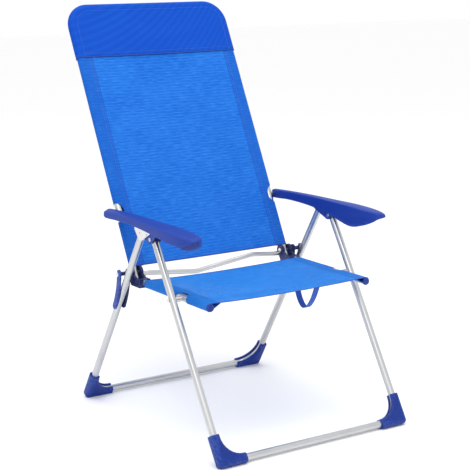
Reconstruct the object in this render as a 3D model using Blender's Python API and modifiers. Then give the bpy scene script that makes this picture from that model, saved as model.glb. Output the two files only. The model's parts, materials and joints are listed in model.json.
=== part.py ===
"""Folding beach chair: aluminium tube frames, mesh slings, plastic armrests, corner feet and hinges.

Front is -Y, the sitter's left is +X, the floor is z = 0. Each linkage pivot is a line along X, so a
pivot is given as its (y, z). The seat, the back, the armrests and the front legs form a parallelogram:
BACK_PIVOT to ARM_PIVOT and LEG_PIVOT to FRONT_PIN are the same vector.
"""
from math import atan2, cos, hypot, pi, radians, sin

import bmesh
import bpy
from mathutils import Matrix, Vector

# ---- Driving dimensions, metres ---------------------------------------------------------------
TUBE_R = 0.0095            # outer radius of every frame tube
GAP = 0.0003               # clearance between pieces that touch
PIN_R = 0.0030             # radius of the pivot bolts
HOLE_R = PIN_R + GAP
HEAD_T = 0.0018            # thickness of a bolt head
RAIL_X = 0.2485            # axis of the seat rails and of the back tubes
LEG_X = 0.2875             # axis of the front and rear legs
SHIFT_Y = 0.0520           # moves the model so that its box is centred on the origin

SEAT_Z = 0.377             # axis height of the seat rails
SEAT_FRONT = -0.352
SEAT_BACK = -0.039
BACK_FOOT = (0.0068, 0.378)        # lower end of a back tube's axis
BACK_SLOPE = 0.502                 # run of the back per metre of rise
BACK_TOP_Z = 1.078                 # axis height of the back's top bar
BACK_CORNER_R = 0.055

BACK_PIVOT = (0.0117, 0.398)       # back to seat
LEG_PIVOT = (-0.2345, 0.377)       # front legs to seat
ARM_PIVOT = (0.0927, 0.542)        # armrests to back
FRONT_PIN = (-0.1535, 0.521)       # front legs to armrest brackets
REAR_PIN = (-0.107, 0.546)         # rear legs to armrest brackets

FRONT_BAR = (-0.4600, 0.0130)       # axis of the front floor bar
REAR_BAR = (0.2136, 0.0130)         # axis of the rear floor bar
LEG_CORNER_R = 0.065
LEG_OVERRUN = 0.008                # tube beyond its top pin

ARM_STATIONS = (                   # y, centre x, half width, outer and inner skirt z, top z
    (0.108, 0.2795, 0.0085, 0.5460, 0.5460, 0.5550),
    (0.102, 0.2795, 0.0128, 0.5410, 0.5405, 0.5580),
    (0.088, 0.2800, 0.0135, 0.5380, 0.5365, 0.5595),
    (0.020, 0.2830, 0.0155, 0.5420, 0.5400, 0.5625),
    (-0.075, 0.2865, 0.0185, 0.5440, 0.5375, 0.5645),
    (-0.160, 0.2890, 0.0220, 0.5410, 0.5290, 0.5645),
    (-0.220, 0.2910, 0.0250, 0.5370, 0.5150, 0.5645),
    (-0.266, 0.2920, 0.0262, 0.5330, 0.5090, 0.5635),
    (-0.312, 0.2925, 0.0250, 0.5330, 0.5190, 0.5615),
    (-0.347, 0.2920, 0.0195, 0.5410, 0.5330, 0.5595),
    (-0.366, 0.2915, 0.0125, 0.5500, 0.5480, 0.5570),
)
ARM_WALL = 0.0028
ARM_IN = ARM_STATIONS[2][1] - ARM_STATIONS[2][2]      # inner face of an armrest at its pivot

EAR_IN = LEG_X - TUBE_R - 0.0022   # inner faces of a leg bracket's two ears
EAR_OUT = LEG_X + TUBE_R + 0.0022
EAR_T = 0.0016
BRACKET_TOP = 0.5600
BRACKET_T = 0.0012
BRACKET_OUTLINE = ((-0.082, BRACKET_TOP), (-0.180, BRACKET_TOP), (-0.180, 0.534), (-0.172, 0.523),
                   (-0.158, 0.5105), (-0.148, 0.5095), (-0.095, 0.530), (-0.082, 0.537))   # (y, z)

CLEVIS_IN = RAIL_X - TUBE_R - 0.0075       # inner face of a hinge clevis
CLEVIS_OUT = RAIL_X + TUBE_R + 0.0070      # outer face of a hinge clevis
CLEVIS_BASE = SEAT_Z - 0.0125
CLEVIS_TOP = SEAT_Z + TUBE_R + GAP
CHEEK_R = 0.0150                   # rounding of the cheeks about the hinge pin
CLEVIS_SLOT = -0.019               # y of the front end of the slot for the back tube

LEVER_IN = (CLEVIS_OUT + 0.0054, LEG_X - TUBE_R - 0.0006)        # inner blade, in |x|
LEVER_OUT = (LEG_X + TUBE_R + 0.0006, LEG_X + TUBE_R + 0.0066)   # outer blade, in |x|
LEVER_TOP = 0.005                  # top end of a lever's spine above its pivot
LEVER_REACH = 0.092                # pivot to the lower end of the spine
LEVER_LEAN = 0.026                 # sweep of the lower end to the rear
LEVER_HALF = 0.0085                # half width of a blade

FOOT_REACH = 0.070                 # length of a foot's two collars
FOOT_HALF = 0.0135                 # tube axis to a foot's outer, front and rear faces
FOOT_INNER = 0.0125                # tube axis to a foot's inner face
FOOT_CORNER_R = 0.011              # outer corner in the plane of the legs
FOOT_EDGE_R = 0.0085               # rounding of the long edges
MOUTH_R = 0.0056                   # opening along the inner side, for clipping on to the tube

BAR_END = 0.022                    # straight end of a crossbar
FRONT_CROSSBAR_Y = -0.290
FRONT_CROSSBAR_R = 0.0080
FRONT_BENDS = ((-0.107, -0.005), (0.107, -0.005))     # (x, drop) of a crossbar's inner bends
REAR_CROSSBAR_Z = 0.390
REAR_CROSSBAR_R = 0.0066
REAR_BENDS = ((-0.055, -0.016), (0.135, 0.008))

SLING_T = 0.0016                   # thickness of the mesh cloth
SEAT_CLOTH_BACK = -0.053           # rear edge of the seat cloth
BACK_CLOTH_LOW = 0.036             # lower edge of the back cloth, along the back from its foot
BACK_CLOTH_TOP = 0.002             # upper edge of the back cloth, below the top bar's axis
HOOD_DEPTH = 0.146                 # length of the head cover down the back
STRAP_W = 0.020
STRAP_T = 0.0018
STRAP_KNOTS = ((-0.182, 0.3835), (-0.176, 0.346), (-0.152, 0.290), (-0.122, 0.259),
               (-0.096, 0.272), (-0.076, 0.316), (-0.066, 0.3835))      # (y, z), front to rear

ALUMINIUM = ("aluminium", (0.80, 0.81, 0.83), 0.32, 1.0)
STEEL = ("plated_steel", (0.68, 0.69, 0.71), 0.28, 1.0)
DARK_PLASTIC = ("dark_blue_plastic", (0.015, 0.025, 0.16), 0.45, 0.0)
BLUE_PLASTIC = ("blue_plastic", (0.03, 0.07, 0.38), 0.50, 0.0)
MESH_CLOTH = ("blue_mesh_cloth", (0.02, 0.17, 0.80), 0.75, 0.0)
HOOD_CLOTH = ("blue_hood_cloth", (0.01, 0.12, 0.72), 0.75, 0.0)
WEBBING = ("blue_webbing", (0.01, 0.09, 0.50), 0.80, 0.0)


# ---- Scene and object helpers -----------------------------------------------------------------
def clear_scene():
    for obj in list(bpy.data.objects):
        bpy.data.objects.remove(obj, do_unlink=True)


def new_collection(name):
    group = bpy.data.collections.new(name)
    bpy.context.scene.collection.children.link(group)
    return group


def material(spec):
    name, colour, roughness, metallic = spec
    if name in bpy.data.materials:
        return bpy.data.materials[name]
    mat = bpy.data.materials.new(name)
    mat.use_nodes = True
    shader = mat.node_tree.nodes["Principled BSDF"]
    shader.inputs["Base Color"].default_value = (*colour, 1.0)
    shader.inputs["Roughness"].default_value = roughness
    shader.inputs["Metallic"].default_value = metallic
    return mat


def add_object(name, data, spec, group):
    obj = bpy.data.objects.new(name, data)
    group.objects.link(obj)
    if spec:
        data.materials.append(material(spec))
    return obj


def mesh_from(bm, name):
    mesh = bpy.data.meshes.new(name)
    bmesh.ops.recalc_face_normals(bm, faces=bm.faces)
    bm.to_mesh(mesh)
    bm.free()
    return mesh


def smooth(obj, angle=35):
    obj.data.shade_smooth()
    obj.data.set_sharp_from_angle(angle=radians(angle))
    return obj


def cutter_look(obj):
    obj.hide_render = True
    obj.display_type = "WIRE"
    return obj


def subtract(obj, cutter):
    cut = obj.modifiers.new("cut_" + cutter.name, "BOOLEAN")
    cut.operation = "DIFFERENCE"
    cut.solver = "EXACT"
    cut.object = cutter


# ---- Shapes -----------------------------------------------------------------------------------
def side_point(x, pivot):
    """World point at x on the lateral line through a (y, z) pivot."""
    return Vector((x, pivot[0] + SHIFT_Y, pivot[1]))


def filleted(corners, radius, steps=7):
    """Polyline through corners, with each inner corner rounded to an arc of the given radius."""
    points = [Vector(corners[0])]
    for before, corner, after in zip(corners, corners[1:], corners[2:]):
        corner = Vector(corner)
        into = (Vector(before) - corner).normalized()
        out = (Vector(after) - corner).normalized()
        half = into.angle(out) / 2
        centre = corner + (into + out).normalized() * (radius / sin(half))
        start = corner + into * (radius / sin(half) * cos(half)) - centre
        turn = pi - 2 * half
        axis = start.cross(into).normalized()
        for step in range(steps + 1):
            points.append(centre + Matrix.Rotation(-turn * step / steps, 3, axis) @ start)
    points.append(Vector(corners[-1]))
    return points


def tube(name, points, spec, group, radius=TUBE_R, resolution=4):
    """Round bar along a polyline, as a curve with filled caps."""
    curve = bpy.data.curves.new(name, "CURVE")
    curve.dimensions = "3D"
    curve.bevel_depth = radius
    curve.bevel_resolution = resolution
    curve.render_resolution_u = 0
    curve.use_fill_caps = True
    spline = curve.splines.new("POLY")
    spline.points.add(len(points) - 1)
    for slot, point in zip(spline.points, points):
        slot.co = (*point, 1.0)
    return add_object(name, curve, spec, group)


def tube_mesh(name, points, spec, group, radius=TUBE_R):
    """The same bar as a welded mesh, ready to be cut."""
    guide = tube(name + "_path", points, None, group, radius)
    depsgraph = bpy.context.evaluated_depsgraph_get()
    mesh = bpy.data.meshes.new_from_object(guide.evaluated_get(depsgraph))
    bm = bmesh.new()
    bm.from_mesh(mesh)
    bmesh.ops.remove_doubles(bm, verts=bm.verts, dist=0.00001)
    bmesh.ops.recalc_face_normals(bm, faces=bm.faces)
    bm.to_mesh(mesh)
    bm.free()
    mesh.name = name
    obj = add_object(name, mesh, spec, group)
    obj.matrix_world = guide.matrix_world
    bpy.data.objects.remove(guide, do_unlink=True)
    return smooth(obj)


def lateral_bar(name, start, end, pivot, radius, spec, group, segments=16):
    """Cylinder along X from x = start to x = end, on a pivot line."""
    bm = bmesh.new()
    bmesh.ops.create_cone(bm, cap_ends=True, segments=segments, radius1=radius, radius2=radius,
                          depth=abs(end - start))
    turn = Matrix.Rotation(pi / 2, 3, "Y")
    bmesh.ops.rotate(bm, verts=bm.verts, cent=(0, 0, 0), matrix=turn)
    bmesh.ops.translate(bm, verts=bm.verts, vec=side_point((start + end) / 2, pivot))
    return smooth(add_object(name, mesh_from(bm, name), spec, group))


def turned(name, profile, side, pivot, spec, group):
    """Turned part on a pivot line. profile holds (x, radius) from its inner end to its outer end."""
    mesh = bpy.data.meshes.new(name)
    points = [(radius, 0.0, -x) for x, radius in profile]
    mesh.from_pydata(points, [(i, i + 1) for i in range(len(points) - 1)], [])
    obj = add_object(name, mesh, spec, group)
    screw = obj.modifiers.new("turn", "SCREW")
    screw.axis = "Z"
    screw.steps = screw.render_steps = 16
    screw.use_merge_vertices = True
    screw.merge_threshold = 0.00001
    obj.location = side_point(0, pivot)
    obj.rotation_euler = (0, -side * pi / 2, 0)
    return obj


def bolt(name, side, inner, outer, pivot, group, head_r=0.0062, head_t=HEAD_T):
    """Bolt with a head beyond each end: inner and outer are the faces that it clamps, in |x|."""
    profile = ((inner - head_t, 0.0), (inner - head_t, head_r * 0.8), (inner - head_t * 0.6, head_r),
               (inner, head_r), (inner, PIN_R), (outer, PIN_R), (outer, head_r),
               (outer + head_t * 0.6, head_r), (outer + head_t, head_r * 0.75), (outer + head_t, 0.0))
    return turned(name, profile, side, pivot, STEEL, group)


def ring(name, side, inner, outer, pivot, spec, group, outer_r=0.0068):
    profile = ((inner, HOLE_R), (inner, outer_r), (outer, outer_r), (outer, HOLE_R), (inner, HOLE_R))
    return turned(name, profile, side, pivot, spec, group)


def box(name, low, high, group, spec=None):
    bm = bmesh.new()
    size = Vector(high) - Vector(low)
    bmesh.ops.create_cube(bm, size=1.0)
    bmesh.ops.scale(bm, verts=bm.verts, vec=size)
    bmesh.ops.translate(bm, verts=bm.verts, vec=(Vector(high) + Vector(low)) / 2)
    return add_object(name, mesh_from(bm, name), spec, group)


def slab(name, outline, low, high, spec, group, bevel=0.0):
    """Outline in (y, z) extruded along X from x = low to x = high."""
    bm = bmesh.new()
    ring_verts = [bm.verts.new((low, y + SHIFT_Y, z)) for y, z in outline]
    face = bm.faces.new(ring_verts)
    grown = bmesh.ops.extrude_face_region(bm, geom=[face])
    moved = [item for item in grown["geom"] if isinstance(item, bmesh.types.BMVert)]
    bmesh.ops.translate(bm, verts=moved, vec=(high - low, 0, 0))
    obj = add_object(name, mesh_from(bm, name), spec, group)
    if bevel:
        edge = obj.modifiers.new("edge", "BEVEL")
        edge.width = bevel
        edge.segments = 1
        edge.limit_method = "ANGLE"
        edge.angle_limit = radians(50)
    return smooth(obj)


def arc(centre, radius, start, end, steps):
    """Points in (y, z) along an arc, with the angles in degrees from +Y towards +Z."""
    turn = (end - start) / steps
    return [(centre[0] + radius * cos(radians(start + turn * i)),
             centre[1] + radius * sin(radians(start + turn * i))) for i in range(steps + 1)]


def on_back(along, off):
    """(y, z) at a distance along the back from its foot, and off its axis towards the sitter."""
    length = hypot(BACK_SLOPE, 1.0)
    up = (BACK_SLOPE / length, 1.0 / length)
    return (BACK_FOOT[0] + up[0] * along - up[1] * off, BACK_FOOT[1] + up[1] * along + up[0] * off)


# ---- Sub-parts --------------------------------------------------------------------------------
def leg_frame(name, bar, top_pin, parts, cutters, pins):
    """U of tube: floor bar, two bends and two legs, drilled for its pins."""
    rise = (top_pin[0] - bar[0], top_pin[1] - bar[1])
    scale = 1 + LEG_OVERRUN / hypot(*rise)
    top = (bar[0] + rise[0] * scale, bar[1] + rise[1] * scale)
    corners = [side_point(x, pivot) for x, pivot in
               ((-LEG_X, top), (-LEG_X, bar), (LEG_X, bar), (LEG_X, top))]
    path = filleted(corners, LEG_CORNER_R)
    frame = tube_mesh(name, path, ALUMINIUM, parts)
    for pin_name, pivot in pins:
        for side in (-1, 1):
            reach = sorted((side * (LEG_X - 0.02), side * (LEG_X + 0.02)))
            hole = lateral_bar(f"{name}_{pin_name}_hole_{side}", *reach, pivot, HOLE_R, None, cutters)
            subtract(frame, cutter_look(hole))
    return path, atan2(rise[1], rise[0])


def foot_outline():
    """Outline (x, v) of a foot in the plane of the legs, with v along the leg from the floor bar."""
    bend = (LEG_X - LEG_CORNER_R, LEG_CORNER_R)
    corner = (LEG_X + FOOT_HALF - FOOT_CORNER_R, FOOT_CORNER_R - FOOT_HALF)
    return ([(LEG_X + FOOT_HALF, FOOT_REACH), (LEG_X - FOOT_INNER, FOOT_REACH)]
            + arc(bend, LEG_CORNER_R - FOOT_INNER, 0, -90, 8)
            + [(LEG_X - FOOT_REACH, FOOT_INNER), (LEG_X - FOOT_REACH, -FOOT_HALF)]
            + arc(corner, FOOT_CORNER_R, -90, 0, 4))


def foot(name, side, bar, lean, path, parts, cutters):
    """Corner guard: a rounded L clipped round the outside of a bend, cut off flat at the floor."""
    place = Matrix.Translation(side_point(0, bar)) @ Matrix.Rotation(lean, 4, "X")
    bm = bmesh.new()
    face = bm.faces.new([bm.verts.new((side * x, v, -FOOT_HALF)) for x, v in foot_outline()])
    grown = bmesh.ops.extrude_face_region(bm, geom=[face])
    moved = [item for item in grown["geom"] if isinstance(item, bmesh.types.BMVert)]
    bmesh.ops.translate(bm, verts=moved, vec=(0, 0, 2 * FOOT_HALF))
    weight = bm.edges.layers.float.new("bevel_weight_edge")
    for edge in bm.edges:
        one, two = (vert.co for vert in edge.verts)
        collar_end = (min(one.y, two.y) > FOOT_REACH - GAP
                      or max(abs(one.x), abs(two.x)) < LEG_X - FOOT_REACH + GAP)
        if abs(one.z - two.z) < GAP and not collar_end:
            edge[weight] = 1.0
    bmesh.ops.transform(bm, matrix=place, verts=bm.verts)
    guard = smooth(add_object(name, mesh_from(bm, name), BLUE_PLASTIC, parts))
    rounding = guard.modifiers.new("rounding", "BEVEL")
    rounding.width = FOOT_EDGE_R
    rounding.segments = 3
    rounding.limit_method = "WEIGHT"
    rounding.use_clamp_overlap = False
    channel = tube_mesh(name + "_channel", path, None, cutters, TUBE_R + GAP)
    near, far = LEG_X - FOOT_INNER, FOOT_REACH + TUBE_R
    opening = filleted([place @ Vector(spot) for spot in
                        ((side * near, far, 0), (side * near, FOOT_INNER, 0),
                         (side * (LEG_X - far), FOOT_INNER, 0))], LEG_CORNER_R - FOOT_INNER)
    mouth = tube_mesh(name + "_mouth", opening, None, cutters, MOUTH_R)
    floor = box(name + "_floor", (side * LEG_X - 0.2, bar[0] + SHIFT_Y - 0.2, -0.1),
                (side * LEG_X + 0.2, bar[0] + SHIFT_Y + 0.2, 0.0), cutters)
    for cutter in (channel, mouth, floor):
        subtract(guard, cutter_look(cutter))


def build_legs(parts, cutters):
    front_pins = (("top", FRONT_PIN), ("seat", LEG_PIVOT))
    rear_pins = (("top", REAR_PIN),)
    for end, bar, top, pins in (("front", FRONT_BAR, FRONT_PIN, front_pins),
                                ("rear", REAR_BAR, REAR_PIN, rear_pins)):
        path, lean = leg_frame(f"{end}_leg_frame", bar, top, parts, cutters, pins)
        for word, side in (("left", 1), ("right", -1)):
            foot(f"{end}_foot_{word}", side, bar, lean, path, parts, cutters)


def build_back(parts, cutters):
    length = (BACK_TOP_Z - BACK_FOOT[1]) * hypot(BACK_SLOPE, 1.0)
    foot_end, top_end = on_back(0, 0), on_back(length, 0)
    corners = [side_point(x, pivot) for x, pivot in
               ((-RAIL_X, foot_end), (-RAIL_X, top_end), (RAIL_X, top_end), (RAIL_X, foot_end))]
    frame = tube_mesh("back_frame_tube", filleted(corners, BACK_CORNER_R), ALUMINIUM, parts)
    for pin_name, pivot in (("hinge", BACK_PIVOT), ("arm", ARM_PIVOT)):
        for side in (-1, 1):
            reach = sorted((side * (RAIL_X - 0.02), side * (RAIL_X + 0.02)))
            hole = lateral_bar(f"back_{pin_name}_hole_{side}", *reach, pivot, HOLE_R, None, cutters)
            subtract(frame, cutter_look(hole))
    near = TUBE_R + GAP
    far = near + SLING_T
    top = length - BACK_CLOTH_TOP
    slab("back_sling", (on_back(BACK_CLOTH_LOW, near), on_back(top, near), on_back(top, far),
                        on_back(BACK_CLOTH_LOW, far)),
         -RAIL_X - TUBE_R, RAIL_X + TUBE_R, MESH_CLOTH, parts)
    build_hood(length, far + GAP, parts)


def build_hood(length, inner, parts):
    """Head cover: cloth that goes up the front, over the top bar and down behind it."""
    outer = inner + SLING_T
    axis = length
    front, behind = [], []
    for step in range(9):
        angle = pi * step / 8
        front.append(on_back(axis + inner * sin(angle), inner * cos(angle)))
        behind.append(on_back(axis + outer * sin(angle), outer * cos(angle)))
    low = axis - HOOD_DEPTH
    inside = [on_back(low, inner)] + front + [on_back(low, -inner)]
    outside = [on_back(low, -outer)] + behind[::-1] + [on_back(low, outer)]
    slab("head_cover", inside + outside, -RAIL_X - TUBE_R, RAIL_X + TUBE_R, HOOD_CLOTH, parts)


def build_seat(parts, cutters):
    for word, side in (("left", 1), ("right", -1)):
        x = side * RAIL_X
        ends = (side_point(x, (SEAT_BACK, SEAT_Z)), side_point(x, (SEAT_FRONT, SEAT_Z)))
        rail = tube_mesh(f"seat_rail_{word}", ends, ALUMINIUM, parts)
        reach = sorted((side * (RAIL_X - 0.02), side * (RAIL_X + 0.02)))
        hole = lateral_bar(f"seat_rail_hole_{word}", *reach, LEG_PIVOT, HOLE_R, None, cutters)
        subtract(rail, cutter_look(hole))
        seat_end_cap(f"seat_end_cap_{word}", x, parts)
        hinge_clevis(f"hinge_clevis_{word}", side, parts, cutters)
    crossbar("seat_front_crossbar", RAIL_X - TUBE_R - GAP, (FRONT_CROSSBAR_Y, SEAT_Z), FRONT_BENDS,
             FRONT_CROSSBAR_R, parts)
    crossbar("seat_rear_crossbar", CLEVIS_IN - HEAD_T - 0.0008, (BACK_PIVOT[0], REAR_CROSSBAR_Z),
             REAR_BENDS, REAR_CROSSBAR_R, parts)
    low = SEAT_Z + TUBE_R + GAP
    slab("seat_sling", ((SEAT_CLOTH_BACK, low), (SEAT_CLOTH_BACK, low + SLING_T),
                        (SEAT_FRONT, low + SLING_T), (SEAT_FRONT, low)),
         -RAIL_X - TUBE_R, RAIL_X + TUBE_R, MESH_CLOTH, parts)


def seat_end_cap(name, x, parts):
    """Domed plug over the front end of a seat rail."""
    mesh = bpy.data.meshes.new(name)
    rim, depth = TUBE_R + 0.001, 0.007
    points = [(0.0, 0.0, depth)]
    points += [(rim * sin(radians(a)), 0.0, 0.002 + (depth - 0.002) * cos(radians(a)))
               for a in (30, 60, 90)]
    points += [(rim, 0.0, 0.0), (0.0, 0.0, 0.0)]
    mesh.from_pydata(points, [(i, i + 1) for i in range(len(points) - 1)], [])
    cap = add_object(name, mesh, BLUE_PLASTIC, parts)
    screw = cap.modifiers.new("turn", "SCREW")
    screw.steps = screw.render_steps = 20
    screw.use_merge_vertices = True
    screw.merge_threshold = 0.00001
    cap.location = side_point(x, (SEAT_FRONT - GAP, SEAT_Z))
    cap.rotation_euler = (pi / 2, 0, 0)


def crossbar(name, half_span, pivot, bends, radius, parts):
    """Tube across the seat, bent off its line between two straight ends."""
    stub = half_span - BAR_END
    inner = [(x, (pivot[0], pivot[1] + drop)) for x, drop in bends]
    corners = [side_point(x, at) for x, at in
               [(-half_span, pivot), (-stub, pivot)] + inner + [(stub, pivot), (half_span, pivot)]]
    tube(name, filleted(corners, 0.10, 3), ALUMINIUM, parts, radius)


def hinge_clevis(name, side, parts, cutters):
    """Plastic end of a seat rail, with two round-topped cheeks that hold the back tube."""
    start = SEAT_BACK + GAP
    outline = [(start, CLEVIS_BASE), (start, CLEVIS_TOP), (CLEVIS_SLOT + 0.0015, CLEVIS_TOP)]
    outline += arc(BACK_PIVOT, CHEEK_R, 195, -60, 15) + [(BACK_FOOT[0], CLEVIS_BASE)]
    low, high = sorted((side * CLEVIS_IN, side * CLEVIS_OUT))
    clevis = slab(name, outline, low, high, DARK_PLASTIC, parts)
    slot_low, slot_high = sorted((side * (RAIL_X - TUBE_R - 0.0004), side * (RAIL_X + TUBE_R + 0.0004)))
    slot = box(name + "_slot", (slot_low, CLEVIS_SLOT + SHIFT_Y, 0.30),
               (slot_high, 0.06 + SHIFT_Y, 0.45), cutters)
    subtract(clevis, cutter_look(slot))
    reach = sorted((side * 0.20, side * 0.30))
    hole = lateral_bar(name + "_bore", *reach, BACK_PIVOT, HOLE_R, None, cutters)
    subtract(clevis, cutter_look(hole))


def ribbon(spine, half, cap_steps=6):
    """Closed (y, z) outline of a blade of even width round a spine, with round ends."""
    rim = []
    for points, last in ((spine, spine[-1]), (spine[::-1], spine[0])):
        for index, point in enumerate(points):
            ahead = points[min(index + 1, len(points) - 1)] - points[max(index - 1, 0)]
            normal = Vector((-ahead.y, ahead.x)).normalized() * half
            rim.append(point + normal)
        for step in range(1, cap_steps):
            rim.append(last + Matrix.Rotation(-pi * step / cap_steps, 2) @ normal)
    return [tuple(point) for point in rim]


def catch_lever(word, side, parts):
    """Release lever: a banana-shaped blade on each side of the rear leg, hung on the hinge pin."""
    spine = []
    for step in range(9):
        t = step / 8
        spine.append(Vector((BACK_PIVOT[0] - 0.004 + LEVER_LEAN * t * t,
                             BACK_PIVOT[1] + LEVER_TOP - (LEVER_REACH + LEVER_TOP) * t)))
    blades = []
    for place, span in (("inner", LEVER_IN), ("outer", LEVER_OUT)):
        low, high = sorted(side * x for x in span)
        name = f"catch_lever_{place}_{word}"
        blades.append(slab(name, ribbon(spine, LEVER_HALF), low, high, DARK_PLASTIC, parts, 0.0012))
    return blades


def build_levers(parts, cutters):
    for word, side in (("left", 1), ("right", -1)):
        for blade in catch_lever(word, side, parts):
            reach = sorted((side * 0.25, side * 0.33))
            hole = lateral_bar(blade.name + "_bore", *reach, BACK_PIVOT, HOLE_R, None, cutters)
            subtract(blade, cutter_look(hole))
        ring(f"catch_spacer_{word}", side, LEVER_IN[1] + GAP, LEVER_OUT[0] - GAP, BACK_PIVOT,
             DARK_PLASTIC, parts, 0.0055)


def armrest(word, side, parts, cutters):
    """Moulded armrest: a lofted shell, open underneath, that deepens to a keel towards the front."""
    name = f"armrest_{word}"
    shell = loft(name, side, ARM_STATIONS, 0.0, BLUE_PLASTIC, parts)
    hollow = loft(name + "_hollow", side, ARM_STATIONS[1:-1], ARM_WALL, None, cutters)
    subtract(shell, cutter_look(hollow))
    reach = sorted((side * 0.262, side * 0.278))
    hole = lateral_bar(name + "_bore", *reach, ARM_PIVOT, HOLE_R, None, cutters)
    subtract(shell, cutter_look(hole))


def loft(name, side, stations, wall, spec, group):
    """Skin through rounded sections across Y. With a wall it is the hollow inside the same skin."""
    bm = bmesh.new()
    rings = []
    for y, x, half, low_out, low_in, high in stations:
        half -= wall
        top = high - wall * 1.3
        drop = 0.03 if wall else 0.0
        soft = 0.0012 if wall else min(0.0055, half * 0.4)
        crown = 0.0 if wall else 0.0012
        shape = [(-half, low_in - drop), (-half, top - soft), (-half + soft * 0.3, top - soft * 0.3),
                 (-half + soft, top), (0.0, top + crown), (half - soft, top),
                 (half - soft * 0.3, top - soft * 0.3), (half, top - soft), (half, low_out - drop)]
        rings.append([bm.verts.new((side * (x + dx), y + SHIFT_Y, z)) for dx, z in shape])
    for here, there in zip(rings, rings[1:]):
        for i in range(len(here)):
            j = (i + 1) % len(here)
            bm.faces.new((here[i], here[j], there[j], there[i]))
    bm.faces.new(rings[0])
    bm.faces.new(rings[-1][::-1])
    return smooth(add_object(name, mesh_from(bm, name), spec, group), 30)


def leg_bracket(word, side, parts, cutters):
    """Folded metal channel under an armrest: two ears with the pins of both legs between them."""
    low, high = sorted((side * (EAR_IN - EAR_T), side * (EAR_OUT + EAR_T)))
    name = f"leg_bracket_{word}"
    bracket = slab(name, BRACKET_OUTLINE, low, high, STEEL, parts)
    slot_low, slot_high = sorted((side * EAR_IN, side * EAR_OUT))
    slot = box(name + "_slot", (slot_low, -0.3 + SHIFT_Y, 0.45),
               (slot_high, 0.1 + SHIFT_Y, BRACKET_TOP - BRACKET_T), cutters)
    subtract(bracket, cutter_look(slot))
    for pin_name, pivot in (("front", FRONT_PIN), ("rear", REAR_PIN)):
        reach = sorted((side * 0.26, side * 0.32))
        hole = lateral_bar(f"{name}_{pin_name}_hole", *reach, pivot, HOLE_R, None, cutters)
        subtract(bracket, cutter_look(hole))


def build_arms(parts, cutters):
    for word, side in (("left", 1), ("right", -1)):
        armrest(word, side, parts, cutters)
        leg_bracket(word, side, parts, cutters)


def build_bolts(parts):
    """Pivot bolts and the spacers on them. Each clamps from one |x| to another."""
    ear_faces = (EAR_IN - EAR_T - GAP, EAR_OUT + EAR_T + GAP)
    for word, side in (("left", 1), ("right", -1)):
        bolt(f"hinge_bolt_{word}", side, CLEVIS_IN - GAP, LEVER_OUT[1] + GAP, BACK_PIVOT, parts)
        bolt(f"seat_leg_bolt_{word}", side, RAIL_X - TUBE_R - 0.0012, LEG_X + TUBE_R + 0.0008,
             LEG_PIVOT, parts)
        bolt(f"arm_bolt_{word}", side, RAIL_X - TUBE_R - 0.0008, ARM_IN + ARM_WALL + 0.0006, ARM_PIVOT,
             parts)
        bolt(f"front_leg_rivet_{word}", side, *ear_faces, FRONT_PIN, parts, 0.0050, 0.0014)
        bolt(f"rear_leg_rivet_{word}", side, *ear_faces, REAR_PIN, parts, 0.0050, 0.0014)
        ring(f"seat_leg_spacer_{word}", side, RAIL_X + TUBE_R + GAP, LEG_X - TUBE_R - GAP,
             LEG_PIVOT, ALUMINIUM, parts)
        ring(f"arm_spacer_{word}", side, RAIL_X + TUBE_R + GAP, ARM_IN - 0.0006, ARM_PIVOT,
             DARK_PLASTIC, parts)


def smooth_route(knots, steps):
    """Points along a Catmull-Rom curve through (y, z) knots."""
    knots = [Vector(knot) for knot in knots]
    ends = [knots[0] * 2 - knots[1]] + knots + [knots[-1] * 2 - knots[-2]]
    route = []
    for before, start, end, after in zip(ends, ends[1:], ends[2:], ends[3:]):
        for step in range(steps):
            t = step / steps
            route.append(0.5 * (2 * start + (end - before) * t
                                + (2 * before - 5 * start + 4 * end - after) * t ** 2
                                + (3 * start - before - 3 * end + after) * t ** 3))
    return route + [knots[-1]]


def closure_strap(parts):
    """Webbing loop that hangs under the left seat rail, for tying the folded chair shut."""
    route = smooth_route(STRAP_KNOTS, 5)
    outer = RAIL_X - TUBE_R - 0.0022
    slab("closure_strap", ribbon(route, STRAP_T / 2, 3), outer - STRAP_W, outer, WEBBING, parts)


def main():
    clear_scene()
    parts = new_collection("beach_chair")
    cutters = new_collection("cutters")
    build_seat(parts, cutters)
    build_back(parts, cutters)
    build_legs(parts, cutters)
    build_arms(parts, cutters)
    build_levers(parts, cutters)
    build_bolts(parts)
    closure_strap(parts)


main()
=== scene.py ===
"""Looks of the folding beach chair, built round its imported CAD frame.

Metres, front is -Y, the sitter's left is +X, the floor is z = 0. Tubes and armrests are rebuilt
finer than the CAD solids, on the same axes. The cloth is curved sheets with sleeves, hems,
cut-outs and stitching. Every material is procedural.
"""

import json
from math import asin, cos, hypot, pi, radians, sin, sqrt

import bmesh
import bpy
from mathutils import Matrix, Vector, noise


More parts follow.
